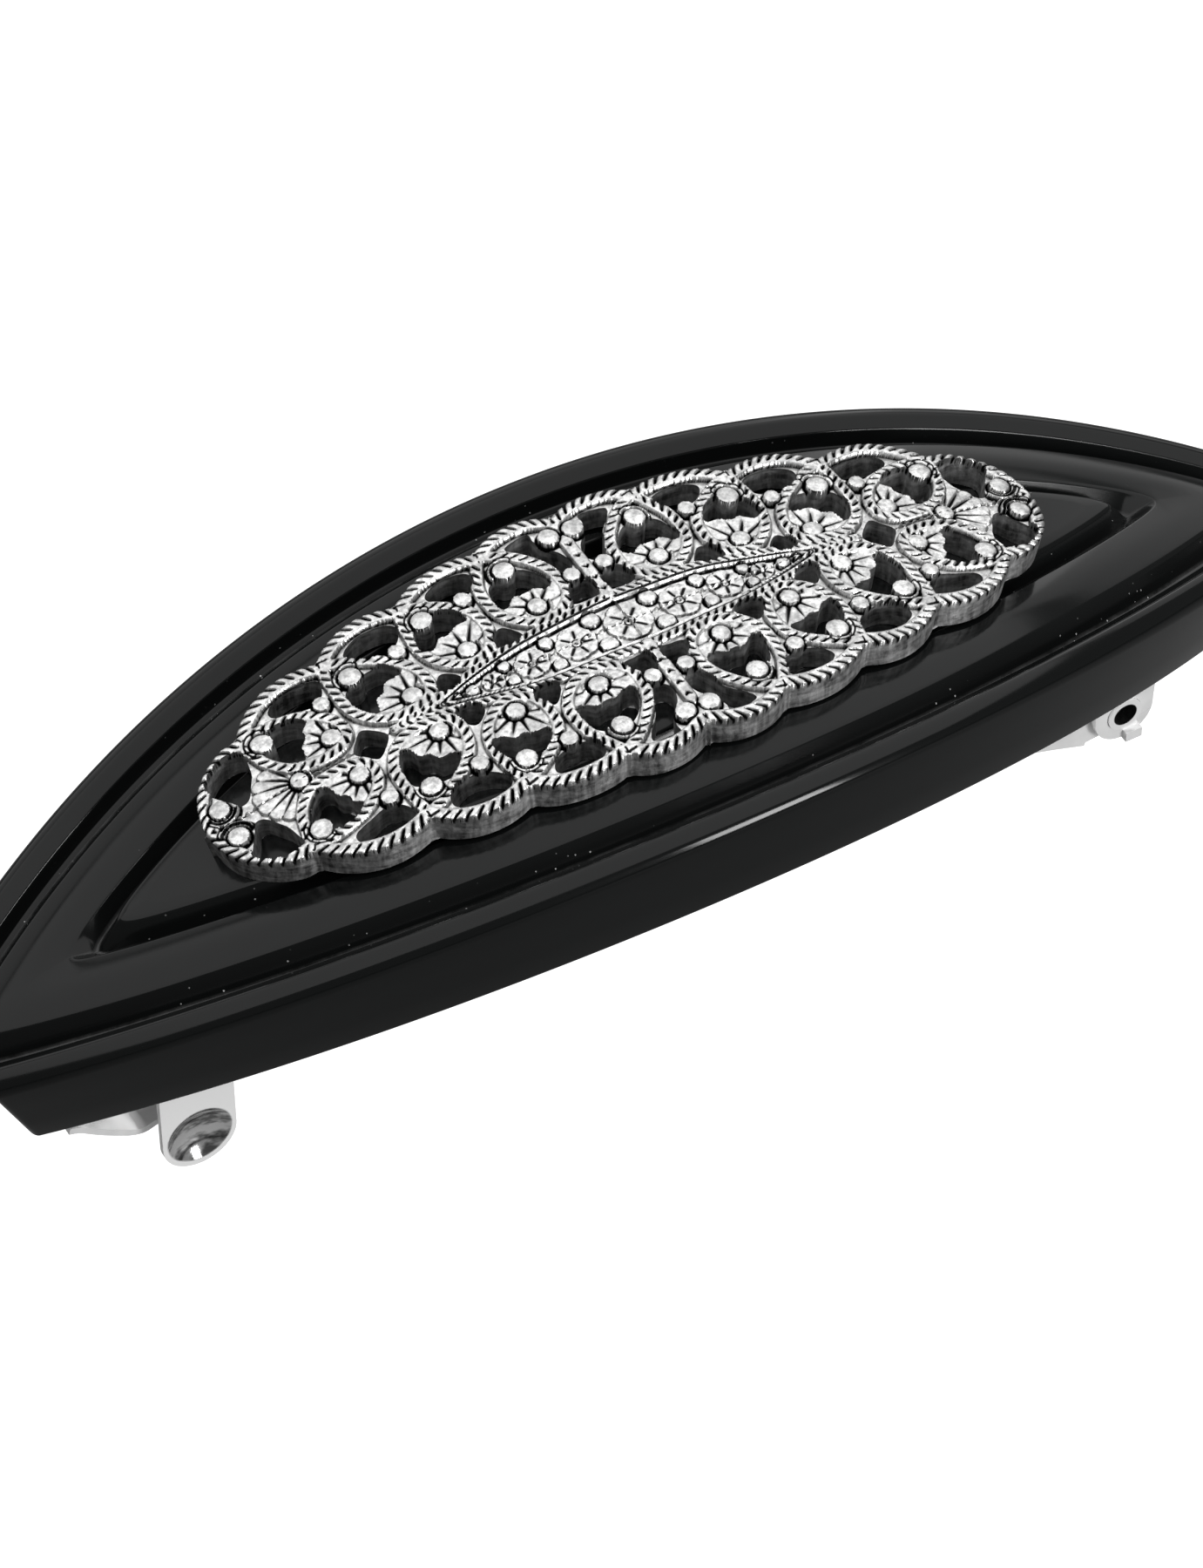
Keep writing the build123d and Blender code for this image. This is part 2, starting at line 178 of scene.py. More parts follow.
def antiqued_silver():
    """Cast silver: bright where it is worn, black in the hollows, streaked on the walls."""
    n = Nodes("antiqued_silver")
    dark, wall = n.value("dark"), n.value("wall")
    mottle = n.noise(2.6, 4.0, 0.65)
    blotch = n.noise(0.5, 3.0)
    bright = n.mix(n.ramp(mottle, 0.35, 0.66), DULL_SILVER, WORN_SILVER)
    bright = n.mix(n.ramp(blotch, 0.35, 0.7, 0.0, 0.55), bright, TARNISH)
    stain = n.ramp(n.math("ADD", dark, n.ramp(mottle, 0.3, 0.7, -0.12, 0.12)), 0.16, 0.56)
    top = n.mix(stain, bright, OXIDE)
    strokes = n.noise(1.9, 3.0, 0.6, stretch=(1, 1, 0.22))
    layers = n.noise(0.8, 4.0, 0.65, stretch=(0.5, 0.5, 2.5))
    lines = n.math("MULTIPLY", n.math("ADD", strokes, layers), 0.5)
    side = n.mix(n.ramp(lines, 0.38, 0.62), grey(0.10), grey(0.62))
    n.set(Base_Color=n.mix(wall, top, side), Metallic=1.0)
    rough = n.ramp(mottle, 0.3, 0.7, 0.42, 0.26)
    n.set(Roughness=n.math("ADD", rough, n.math("MULTIPLY", wall, 0.2)))
    n.bump(n.noise(3.6, 3.0, 0.6), 0.035, 0.8)
    return n.material


# Places on the clasp in millimetres, as x and z: the finger tabs' dimples and the hinge.
TAB_DIMPLE = (-33.8, 2.75)
DIMPLE_RADIUS = 2.28
HINGE_AXIS = (35.45, 4.7)
PIN_BORE = 0.9                  # radius
PATCH_EDGE = 0.03               # soft edge of a patch, as a share of its radius


def plated_steel(name, low=0.16, high=0.30, colour=0.94, metal=0.5):
    """Nodes of plated metal with cloudy haze and faint scratches; low and high are roughness."""
    n = Nodes(name)
    haze = n.noise(0.35, 2.0)
    scratch = n.noise(0.8, 2.0, 0.5, stretch=(0.15, 1, 1.4))
    hazed = n.mix(n.ramp(haze, 0.35, 0.7), grey(colour), grey(colour * 0.82))
    n.set(Base_Color=hazed, Metallic=metal)
    n.set(Roughness=n.ramp(haze, 0.3, 0.7, low, high))
    n.bump(n.math("ADD", scratch, haze), 0.003, 0.3)
    return n


def round_patch(n, place, radius):
    """Share that is 1 within a radius of an axis along Y through a place (x, z), 0 outside."""
    centre = Vector((place[0], 0, place[1])) * MM
    offset = n.add("ShaderNodeVectorMath", {0: n.position(), 1: centre}, operation="SUBTRACT")
    offset = offset.outputs["Vector"]
    level = n.add("ShaderNodeVectorMath", {0: offset, 1: (1, 0, 1)}, operation="MULTIPLY")
    away = n.add("ShaderNodeVectorMath", {0: level.outputs["Vector"]}, operation="LENGTH")
    edge = radius * MM
    low, high = edge * (1 - PATCH_EDGE), edge * (1 + PATCH_EDGE)
    return n.ramp(away.outputs["Value"], low, high, 1.0, 0.0)


def tab_steel():
    """Satin plate with a bright, mirror-like dimple whose colour holds painted reflections as dark and
    bright streaks.
    """
    n = plated_steel("tab_steel")
    cup = round_patch(n, TAB_DIMPLE, DIMPLE_RADIUS)
    # painted reflection: dark and bright streaks in the dimple's colour stand in for the surroundings it
    # reflects
    reflection_streaks = n.noise(0.5, 3.0, 0.6, stretch=(1, 1, 2.2))
    painted_reflection = n.mix(n.ramp(reflection_streaks, 0.42, 0.55), grey(0.22), grey(0.9))
    n.set(Base_Color=n.mix(cup, grey(0.92), painted_reflection))
    n.set(Metallic=n.ramp(cup, 0, 1, 0.4, 1.0), Roughness=n.ramp(cup, 0, 1, 0.26, 0.10))
    return n


def pin_steel():
    """Plated pin with painted shade darkening the colour of its bore."""
    n = plated_steel("pin_steel")
    bore = round_patch(n, HINGE_AXIS, PIN_BORE)
    # painted shade: the bore's colour is darkened to stand in for the shade inside the hole
    painted_bore_shade = n.mix(n.ramp(n.noise(1.2), 0.3, 0.7), grey(0.015), grey(0.05))
    n.set(Base_Color=n.mix(bore, grey(0.9), painted_bore_shade))
    return n


# ------------------------------------------------------------------- the body
HALF_ARC = 50.25            # from mid-length to either blunt end
SIDE_RADIUS = 113.5         # of the two arcs of the outline, in arc length and width
SIDE_OFFSET = 96.9          # their centres, either side of the long axis
TIP_ROUND = 0.7             # rounding of contours where they cross the long axis
TIP_SOFT = 0.02             # keeps contours a little off the axis beyond their tips
FOOT = -9.1                 # underside
FOOT_ROUND = 0.4
SHOULDER_REACH = 1.3        # how far in the rounded shoulder goes
SHOULDER_FOOT, SHOULDER_TOP = -3.4, -2.25
END_ROUND = 0.35            # of the edges of the blunt ends
# Section of the top: distance in from the outline, height, rounding radius.
TOP_SECTION = [
    (1.30, -2.25, 0.0), (1.50, -2.30, 0.2),                         # crest of the rim
    (2.20, -2.85, 0.12), (2.45, -3.90, 0.12), (2.95, -3.95, 0.10),  # outer groove
    (4.05, -2.62, 0.20), (5.80, -2.32, 1.2), (7.50, -2.55, 0.16),   # band between the grooves
    (8.15, -3.90, 0.12),                                            # inner groove
    (9.00, -2.26, 0.22), (9.70, -2.20, 0.0),                        # edge of the centre panel
]
GROOVE_INSETS = (2.95, 8.15)    # bottoms of the two grooves, where dust settles
DUST_REACH = 0.7                # how far from a groove's bottom the dust thins out
DUST_LOWEST = -5.0              # below this height are the walls and the underside, which stay clean
# Points across half of the underside and half of the centre panel, as shares of its half-width,
# and the distance in from the outline that stands for all of them.
FOOT_SHARES = np.array([0.0, 0.3, 0.6, 0.85, 0.97])
FOOT_INSET = 0.5
PANEL_SHARES = np.array([0.97, 0.9, 0.75, 0.5, 0.25, 0.0])
PANEL_INSET = 9.0
# Angles of the points round the edges of the foot, the shoulder and the blunt ends.
FOOT_TURN = np.linspace(0, math.pi / 2, 6)
SHOULDER_TURN = np.linspace(0, math.pi / 2, 14)[:-1]
END_TURN = np.linspace(0, math.pi / 2, 6)[1:]


def rounded_section(points, steps=5):
    """Polyline of distance and height with each corner eased by its own radius."""
    p = np.array([(d, h) for d, h, _ in points])
    out = [p[0]]
    for i in range(1, len(p) - 1):
        radius = points[i][2]
        before, after = p[i - 1] - p[i], p[i + 1] - p[i]
        for run in (before, after):
            length = np.hypot(*run)
            run *= min(radius, 0.45 * length) / length
        t = np.linspace(0, 1, steps)[:, None]
        out += list((1 - t) ** 2 * (p[i] + before) + 2 * t * (1 - t) * p[i] + t ** 2 * (p[i] + after))
    out.append(p[-1])
    return np.array(out)


def contour_width(arc, inset):
    """Half-width of the contour an inset inside the outline; small beyond its tip, never zero."""
    width = np.sqrt(np.maximum((SIDE_RADIUS - inset) ** 2 - arc ** 2, 1.0)) - SIDE_OFFSET
    squared = width * np.abs(width) - TIP_ROUND ** 2
    return np.sqrt(0.5 * (squared + np.sqrt(squared ** 2 + TIP_SOFT ** 2)))


def section_height(arc, width, section):
    """Height of the top at a width, its contours rounded where they cross the long axis."""
    eased = np.hypot(width, TIP_ROUND) + SIDE_OFFSET
    return np.interp(SIDE_RADIUS - np.hypot(arc, eased), section[:, 0], section[:, 1])


def body_station(arc, section):
    """Closed cross-section at an arc position, as widths, heights and insets."""
    foot_insets = FOOT_ROUND * (1 - np.sin(FOOT_TURN))
    foot_heights = FOOT + FOOT_ROUND * (1 - np.cos(FOOT_TURN))
    wall_heights = np.linspace(foot_heights[-1], SHOULDER_FOOT, 4)[1:3]
    shoulder_insets = SHOULDER_REACH * (1 - np.cos(SHOULDER_TURN))
    shoulder_heights = SHOULDER_FOOT + (SHOULDER_TOP - SHOULDER_FOOT) * np.sin(SHOULDER_TURN)

    insets = np.r_[foot_insets, 0 * wall_heights, shoulder_insets, section[:, 0]]
    widths = contour_width(arc, insets)
    top_heights = section_height(arc, widths[-len(section):], section)
    heights = np.r_[foot_heights, wall_heights, shoulder_heights, top_heights]

    panel = widths[-1] * PANEL_SHARES
    half = (
        np.r_[widths[0] * FOOT_SHARES, widths, panel],
        np.r_[0 * FOOT_SHARES + FOOT, heights, section_height(arc, panel, section)],
        np.r_[0 * FOOT_SHARES + FOOT_INSET, insets, 0 * PANEL_SHARES + PANEL_INSET],
    )
    return [np.r_[row, side * row[-2:0:-1]] for row, side in zip(half, (-1, 1, 1))]


def body_plan():
    """Arc of every cross-section from end to end, and how much it shrinks at the rounded ends."""
    # closer together where the grooves run into their tips
    half = np.r_[
        np.arange(0, 36, 0.6),
        np.arange(36, 46, 0.125),
        np.linspace(46, HALF_ARC - END_ROUND, 14),
    ]
    end = []
    for turn in END_TURN:
        end.append((HALF_ARC - END_ROUND * (1 - math.sin(turn)), END_ROUND * (1 - math.cos(turn))))
    middle = [(arc, 0.0) for arc in np.r_[-half[::-1], half[1:]]]
    return [(-arc, shrink) for arc, shrink in end[::-1]] + middle + end


def tube_faces(rings, around):
    """Quads between closed rings of points, with one face across each end."""
    faces = [tuple(range(around))[::-1]]
    for a in range(0, (rings - 1) * around, around):
        b = a + around
        for j in range(around):
            k = (j + 1) % around
            faces.append((a + j, a + k, b + k, b + j))
    last = (rings - 1) * around
    faces.append(tuple(range(last, last + around)))
    return faces


def body_mesh():
    """Points and faces of the body, and how near each point is to a groove's bottom."""
    section = rounded_section(TOP_SECTION)
    middle = (SHOULDER_TOP + FOOT) / 2
    points, groove = [], []
    for arc, shrink in body_plan():
        width, height, inset = body_station(arc, section)
        width = width * (1 - shrink / width.max())
        height = height - shrink * np.clip((height - middle) / (SHOULDER_TOP - middle), -1, 1)
        points.append(arch_xyz(np.full_like(width, arc), width, height))
        near = np.min([np.abs(inset - bottom) for bottom in GROOVE_INSETS], axis=0)
        groove.append(np.clip(1.2 - near / DUST_REACH, 0, 1) * (height > DUST_LOWEST))
    faces = tube_faces(len(points), len(points[0]))
    return np.vstack(points), faces, np.concatenate(groove)


# -------------------------------------------------------- the plaque's relief
# Arc length s and width y of one quarter, in millimetres; the other three mirror it. Heights are
# taken from the plaque's top face, so everything below it is negative.
GRID = 0.07                 # spacing of the relief's points
QUARTER = (30.9, 11.4)      # what the quarter's grid covers
EMPTY = -9.0                # height and depth inside an edge that stand for no metal
GROUND = -0.46              # plain metal between the ornaments
ROPE_CROWN = 0.12           # how far a rope's middle stands above its edges
NOTCH_PITCH = 0.70          # along the border
NOTCH_SLANT = math.radians(38)
NOTCH_WIDTH = 0.085
NOTCH_DEPTH = 0.34
NOTCHED = (-0.6, 0.75)      # span of a rope's half-widths that its notches cross
SERRATED = (-0.55, 1.3)     # the same where they break the plaque's outer edge
BEAD_RISE = 0.22            # of a bead, as a share of its radius
HUB_RADIUS = 0.64           # of the bead that a fan spreads from
PETAL_HEIGHT = -0.30
PETAL_CROWN = 0.05
PETAL_CUT = 0.75            # how far the cuts between petals run out from the hub
PETAL_CUT_DEPTH = 0.2
FINE_GROOVE = 0.06          # width of the grooves beside ridges and round hubs
BORDER_WIDTH = 0.86
LOOP_WIDTH = 0.84
AXIS_WIDTH = 0.70
MEDALLION_WIDTH = 0.68
STRUT_WIDTH = 0.85
LOOP_BEAD = 0.72            # radii of the beads
LINK_BEAD = 0.57
LONE_BEAD = 0.70            # of the strut's bead and the end's
LOOP_RIDGE = 0.92           # radius of the ridge round a loop's bead
LOOP_RIDGE_TURN = 1.3       # how far it runs either side of the loop's tip, in radians
END_RIDGES = (0.92, 1.14)   # radii of the two ridges round the end's bead
END_RIDGE_SPAN = (math.radians(200), math.radians(330))

# Scallops of the border, from notch to notch over a crest.
BORDER_NOTCHES = [(0.0, 9.9), (5.7, 9.75), (12.05, 8.65), (18.3, 7.4), (25.2, 5.2)]
BORDER_CRESTS = [(2.9, 10.8), (8.7, 10.1), (14.9, 9.1), (20.9, 7.75)]
BORDER_END = [(25.2, 5.2), (26.6, 5.05), (28.3, 4.1), (29.6, 2.4), (30.1, 0.0), (29.6, -2.4)]

# Teardrop loops: route from the border and back, bead near the tip, direction of the tip from the
# bead in degrees, and the fan of petals across the loop's foot.
LOOPS = [
    dict(
        route=[
            (5.6, 9.5), (4.2, 8.7), (3.1, 7.6), (2.3, 6.4), (2.0, 5.1), (2.2, 3.8), (3.2, 2.85),
            (4.6, 2.65), (5.9, 3.2), (6.8, 4.4), (7.0, 5.8), (6.8, 7.2), (6.2, 8.5), (5.6, 9.5),
        ],
        bead=(4.8, 7.6),
        tip=60,
        fan=dict(hub=(4.4, 3.9), reach=2.0, facing=85, spread=180, petals=5),
    ),
    dict(
        route=[
            (12.0, 8.4), (10.7, 7.8), (9.5, 7.0), (8.4, 6.0), (8.0, 4.9), (8.0, 3.6), (8.6, 2.4),
            (9.8, 1.9), (11.0, 2.3), (12.0, 3.4), (12.4, 4.7), (12.4, 6.0), (12.2, 7.3),
            (12.0, 8.4),
        ],
        bead=(11.1, 6.75),
        tip=62,
        fan=dict(hub=(9.85, 3.0), reach=2.5, facing=72, spread=170, petals=5),
    ),
    dict(
        route=[
            (18.2, 7.1), (16.9, 6.6), (15.5, 5.8), (14.2, 4.8), (13.4, 3.6), (13.2, 2.3),
            (13.6, 1.2), (14.8, 0.75), (16.2, 0.8), (17.5, 1.5), (18.25, 2.8), (18.35, 4.2),
            (18.3, 5.7), (18.2, 7.1),
        ],
        bead=(17.0, 5.3),
        tip=58,
        fan=dict(hub=(14.55, 1.75), reach=2.4, facing=48, spread=160, petals=5),
    ),
    dict(
        route=[
            (25.1, 4.9), (24.0, 5.0), (22.6, 4.85), (21.1, 4.4), (19.95, 3.6), (19.3, 2.5),
            (19.4, 1.35), (20.4, 0.75), (22.0, 0.7), (23.5, 1.15), (24.5, 2.3), (24.9, 3.6),
            (25.1, 4.9),
        ],
        bead=(24.05, 4.0),
        tip=45,
        fan=dict(hub=(20.25, 1.85), reach=2.3, facing=36, spread=160, petals=5),
    ),
]
END_FAN = dict(hub=(23.5, 0.0), reach=3.15, facing=0, spread=116, petals=6)
END_BEAD = (28.55, 1.25)
LINK_BEADS = [(8.1, 6.75), (13.65, 5.4), (19.5, 4.45), (1.15, 5.05)]
STRUT = [(0, 2.4), (0, 5), (0, 9.6)]
STRUT_BEAD = (0.85, 8.6)

# Openings cast right through, each outline running clockwise.
OPENINGS = [
    [
        (1.9, 9.75), (3.6, 9.5), (3.4, 8.7), (2.5, 7.7), (2.0, 6.6), (1.3, 5.5), (0.5, 6.1),
        (0.7, 7.3), (1.5, 8.2), (1.75, 9.0),
    ],
    [
        (2.6, 5.2), (2.7, 6.1), (3.3, 7.0), (4.1, 7.5), (5.2, 7.45), (6.1, 7.1), (6.5, 6.2),
        (6.6, 5.0), (6.1, 4.75), (5.3, 5.35), (4.6, 5.25), (3.9, 5.35), (3.2, 5.0),
    ],
    [
        (6.7, 8.8), (7.6, 9.15), (8.9, 9.1), (9.9, 8.55), (9.7, 7.8), (9.0, 7.3), (8.2, 7.1),
        (7.3, 7.3), (6.7, 8.0),
    ],
    [
        (7.3, 3.65), (8.0, 3.1), (8.2, 2.25), (7.3, 1.95), (6.3, 2.3), (6.6, 3.1),
    ],
    [
        (0.4, 4.4), (1.5, 4.5), (2.1, 3.8), (2.15, 3.05), (1.4, 2.9), (0.4, 2.95),
    ],
    [
        (8.7, 5.2), (8.9, 6.1), (9.8, 6.8), (10.9, 7.0), (11.8, 6.4), (12.3, 5.3), (12.2, 4.3),
        (11.5, 4.3), (10.9, 4.85), (10.3, 4.8), (9.6, 5.1),
    ],
    [
        (12.6, 7.5), (13.3, 8.05), (15.0, 8.1), (16.35, 7.45), (16.4, 6.7), (15.6, 6.0),
        (14.4, 5.75), (13.3, 6.2), (12.7, 6.9),
    ],
    [
        (14.2, 4.0), (15.0, 5.05), (16.0, 5.2), (17.5, 4.7), (17.9, 4.1), (17.9, 3.0), (17.3, 1.8),
        (16.8, 1.8), (16.5, 2.7), (15.9, 3.0), (15.5, 3.6), (14.8, 3.7),
    ],
    [
        (11.3, 1.7), (12.1, 2.4), (12.7, 2.1), (13.05, 1.05), (12.2, 0.75), (11.45, 1.1),
    ],
    [
        (18.7, 6.3), (19.5, 6.75), (21.3, 6.8), (22.5, 6.2), (22.4, 5.5), (21.2, 5.1), (20.0, 4.8),
        (19.1, 5.2),
    ],
    [
        (21.0, 3.9), (21.8, 4.6), (23.0, 4.7), (24.0, 4.2), (24.3, 3.2), (23.8, 2.1), (22.9, 1.25),
        (22.3, 1.4), (22.1, 2.3), (21.6, 2.8), (21.5, 3.4),
    ],
    [
        (25.35, 4.0), (25.9, 4.45), (27.1, 4.45), (28.4, 3.6), (28.5, 2.8), (27.7, 1.6),
        (27.2, 0.85), (26.6, 1.0), (26.0, 1.9), (25.6, 2.6),
    ],
    [
        (17.2, 0.0), (17.9, 0.9), (18.5, 1.3), (19.0, 0.95), (19.7, 0.0), (18.9, -0.8),
        (18.3, -1.1), (17.8, -0.8),
    ],
]

# The medallion: its rope and ridge, then rosettes and beads as centre and radius.
MEDALLION_ROPE = [
    (-3.0, 2.28), (0.0, 2.4), (3.0, 2.28), (6.0, 2.05), (8.0, 1.8), (10.0, 1.4), (12.0, 0.95),
    (14.0, 0.5), (16.3, 0.0),
]
MEDALLION_RIDGE = [
    (-3.0, 1.86), (0.0, 1.95), (3.0, 1.86), (6.0, 1.62), (8.0, 1.35), (10.5, 0.8), (12.0, 0.42),
    (13.3, 0.0),
]
AXIS_ROPE = [(12.4, 0.0), (16.7, 0.0)]
ROSETTES = [
    ((0.0, 0.0), 1.62), ((3.72, 0.0), 1.42), ((6.95, 0.0), 1.2), ((9.7, 0.0), 0.8),
]
SEEDS = [
    ((2.05, 1.22), 0.6), ((5.45, 1.02), 0.48), ((8.6, 0.72), 0.4), ((11.25, 0.0), 0.46),
    ((12.3, 0.0), 0.25),
]


def catmull_rom(points, step):
    """Smooth curve from the second point to the last but one; the ends only steer it."""
    p = np.asarray(points, float)
    out = []
    for a, b, c, d in zip(p[:-3], p[1:-2], p[2:-1], p[3:]):
        count = max(2, int(np.hypot(*(c - b)) / step))
        t = np.linspace(0, 1, count, endpoint=False)[:, None]
        out.append(0.5 * (2 * b + (c - a) * t + (2 * a - 5 * b + 4 * c - d) * t ** 2
                          + (3 * b - a - 3 * c + d) * t ** 3))
    out.append(p[-2][None])
    return np.vstack(out)


def open_path(points, step=0.04):
    """Smooth curve through all the points."""
    p = np.asarray(points, float)
    return catmull_rom([2 * p[0] - p[1], *p, 2 * p[-1] - p[-2]], step)


def closed_path(points, step=0.08):
    """Smooth loop through all the points, ending where it starts."""
    return catmull_rom([points[-1], *points, *points[:2]], step)


def arc_path(centre, radius, start, end, step=0.04):
    """Circular arc between two angles in radians."""
    count = max(3, int(abs(end - start) * radius / step))
    a = np.linspace(start, end, count)
    return np.c_[centre[0] + radius * np.cos(a), centre[1] + radius * np.sin(a)]


def circle_through(a, b, c):
    """Centre and radius of the circle through three points."""
    (ax, ay), (bx, by), (cx, cy) = a, b, c
    a2, b2, c2 = ax ** 2 + ay ** 2, bx ** 2 + by ** 2, cx ** 2 + cy ** 2
    d = 2 * (ax * (by - cy) + bx * (cy - ay) + cx * (ay - by))
    x = (a2 * (by - cy) + b2 * (cy - ay) + c2 * (ay - by)) / d
    y = (a2 * (cx - bx) + b2 * (ax - cx) + c2 * (bx - ax)) / d
    return (x, y), math.hypot(ax - x, ay - y)


def hollow(distance, width):
    """Smooth profile of a groove: 1 along its middle, falling to 0 over about twice its width."""
    return np.exp(-(distance / width) ** 2)


class Relief:
    """Height of the metal and distance inside its edge, over one quarter."""

    def __init__(self):
        axes = [np.arange(0, size, GRID) for size in QUARTER]
        self.s, self.y = np.meshgrid(*axes, indexing="ij")
        self.height = np.full(self.s.shape, EMPTY)
        self.inside = np.full(self.s.shape, EMPTY)
        self.skirt = np.full(self.s.shape, GROUND)      # height just outside the edge
        self.dark = np.zeros(self.s.shape)              # share of black oxide

    def add(self, inside, height):
        """Lay an element over what is there; inside is the distance within its own edge."""
        self.skirt = np.where(inside > self.inside, height, self.skirt)
        self.inside = np.maximum(self.inside, inside)
        self.height = np.where(inside > 0, np.maximum(self.height, height), self.height)

    def carve(self, share, depth, stain=1.0):
        """Sink a groove; share runs from 0 at its edges to 1 along its middle."""
        self.height = np.where(self.height > EMPTY, self.height - depth * share, self.height)
        self.skirt -= depth * share
        self.dark = np.maximum(self.dark, stain * share)

    def follow(self, path):
        """Distance along a path, and signed distance from it, of its nearest point."""
        lengths = np.r_[0, np.cumsum(np.hypot(*np.diff(path, axis=0).T))]
        tangents = np.gradient(path, axis=0)
        tangents /= np.hypot(*tangents.T)[:, None] + 1e-12
        best = np.full(self.s.shape, 1e9)
        along, side = np.zeros(self.s.shape), np.zeros(self.s.shape)
        for (ps, py), (ts, ty), length in zip(path, tangents, lengths):
            ds, dy = self.s - ps, self.y - py
            d2 = ds * ds + dy * dy
            near = d2 < best
            best = np.where(near, d2, best)
            along = np.where(near, length + ds * ts + dy * ty, along)
            side = np.where(near, ts * dy - ty * ds, side)
        return along, np.sqrt(best) * np.sign(side)

    def polar(self, centre):
        ds, dy = self.s - centre[0], self.y - centre[1]
        return np.hypot(ds, dy), np.arctan2(dy, ds)

    def rope(self, path, width, top=0.0, slant=NOTCH_SLANT, outside=1, pitch=NOTCH_PITCH, span=NOTCHED):
        """Flat band with slanting notches over a span of its width, from -1 inside to 1 outside."""
        along, side = self.follow(path)
        across = side / (width / 2) * outside
        crown = ROPE_CROWN * np.clip(1 - across ** 4, -0.3, 1)
        turn = (along + side * math.tan(slant)) / pitch + 0.5
        off = np.abs(turn - np.round(turn)) * pitch * math.cos(slant)
        # each notch widens slowly from its inner end and closes quickly at its outer end
        opened = np.clip(np.minimum((across - span[0]) / 0.5, (span[1] - across) / 0.25), 0, 1)
        notch = hollow(off, NOTCH_WIDTH * (0.5 + 0.5 * opened)) * np.clip(2.5 * opened, 0, 1)
        inside = width / 2 - np.abs(side)
        self.add(inside, top - ROPE_CROWN + crown - NOTCH_DEPTH * notch)
        self.dark = np.where(inside > 0, np.maximum(self.dark * (inside < 0.1), notch), self.dark)

    def ridge(self, path, top, width=0.2, crown=0.14):
        """Plain raised line with a fine groove either side."""
        _, side = self.follow(path)
        away = np.abs(side)
        self.carve(hollow(away - width * 0.85, FINE_GROOVE) * (self.height > EMPTY), 0.1)
        self.add(width / 2 - away, top - crown * np.clip(away / (width / 2), 0, 1.2) ** 2)

    def bead(self, centre, radius, top=0.0, seat=0.12):
        """Round bead in a fine dark seat."""
        rho, _ = self.polar(centre)
        self.carve(hollow(rho - radius - 0.03, seat * 0.75), 0.28)
        inner = np.clip(rho / radius, 0, 1)
        self.add(radius - rho, top - BEAD_RISE * radius * (1 - np.sqrt(1 - inner ** 2 * 0.98)))
        self.dark = np.where(rho < radius, 0, self.dark)

    def fan(self, hub, reach, facing, spread, petals, clip=None, hub_radius=HUB_RADIUS,
            narrow=0.0, flare=0.7, cut=PETAL_CUT):
        """Shell of petals round a hub, within an optional clip distance.

        Flare lengthens the outer petals and narrow shortens them; cut is the share of a petal's
        length that the dark cut beside it takes up.
        """
        rho, angle = self.polar(hub)
        whole_turn, half = 2 * math.pi, math.radians(spread) / 2
        turn = (angle - math.radians(facing) + math.pi) % whole_turn - math.pi
        share = turn / math.radians(spread)
        u = (share + 0.5) * petals
        # the petals' ends bulge, and reach further towards the fan's sides
        lobe = np.sqrt(np.abs(np.sin(math.pi * u)) + 0.02)
        limit = (reach + 0.24 * (lobe - 0.8)) / np.maximum(np.cos(turn), 0.35) ** flare
        limit = limit - narrow * (2 * share) ** 2
        if clip is None:
            sides = rho * np.sin(np.clip(half - np.abs(turn), -1.5, 1.5)) + 0.35
            inside = np.minimum(limit - rho, sides)
        else:
            inside = np.minimum(limit - rho, clip)
        # wedge-shaped cuts that start at the hub, and short ones between the petals' ends
        off = np.abs(u - np.round(u)) * rho * math.radians(spread) / petals
        within = np.clip((0.5 - np.abs(share)) * petals + 0.5, 0, 1)
        start = np.clip((rho - hub_radius - 0.05) / 0.15, 0, 1)
        tail = (rho - hub_radius) / (limit - hub_radius)
        wedge = np.clip((cut - tail) / cut, 0, 1) ** 0.5
        lip = np.clip((tail - 0.86) / 0.1, 0, 1)
        groove = hollow(off, 0.03 + 0.08 * wedge) * np.maximum(wedge, 0.9 * lip) * start * within
        crown = PETAL_CROWN * lobe * start * within
        eased_edge = 0.08 * np.clip(1 - inside / 0.2, 0, 1) ** 2
        height = PETAL_HEIGHT + crown + 0.05 * rho / reach - eased_edge
        self.add(inside, height - PETAL_CUT_DEPTH * groove)
        top = (inside > 0) & (self.height <= height + 1e-6)
        self.dark = np.where(top, np.maximum(self.dark, groove), self.dark)
        self.collar(rho, turn, hub_radius)
        self.bead(hub, hub_radius, top=-0.03)

    def collar(self, rho, turn, hub_radius):
        """Groove round a fan's hub, and a ridge round the back of it, away from the petals."""
        behind = np.clip((np.abs(turn) - math.radians(75)) / math.radians(15), 0, 1)
        self.carve(hollow(rho - hub_radius - 0.08, FINE_GROOVE) * (0.3 + 0.7 * behind), 0.25)
        off = np.abs(rho - hub_radius - 0.27)
        self.add(np.minimum(0.1 - off, behind - 0.5), -0.12 - 0.14 * (off / 0.1) ** 2)

    def plate(self, outline):
        """Plain metal inside an outline that runs from the axis round to the end."""
        _, side = self.follow(outline)
        self.add(-side, np.full(side.shape, GROUND))

    def pierce(self, outline):
        """Cut an opening; its outline runs clockwise."""
        _, side = self.follow(outline)
        low, high = outline.min(axis=0) - BORDER_WIDTH, outline.max(axis=0) + BORDER_WIDTH
        near = (self.s > low[0]) & (self.s < high[0]) & (self.y > low[1]) & (self.y < high[1])
        self.inside = np.where(near, np.minimum(self.inside, side), self.inside)

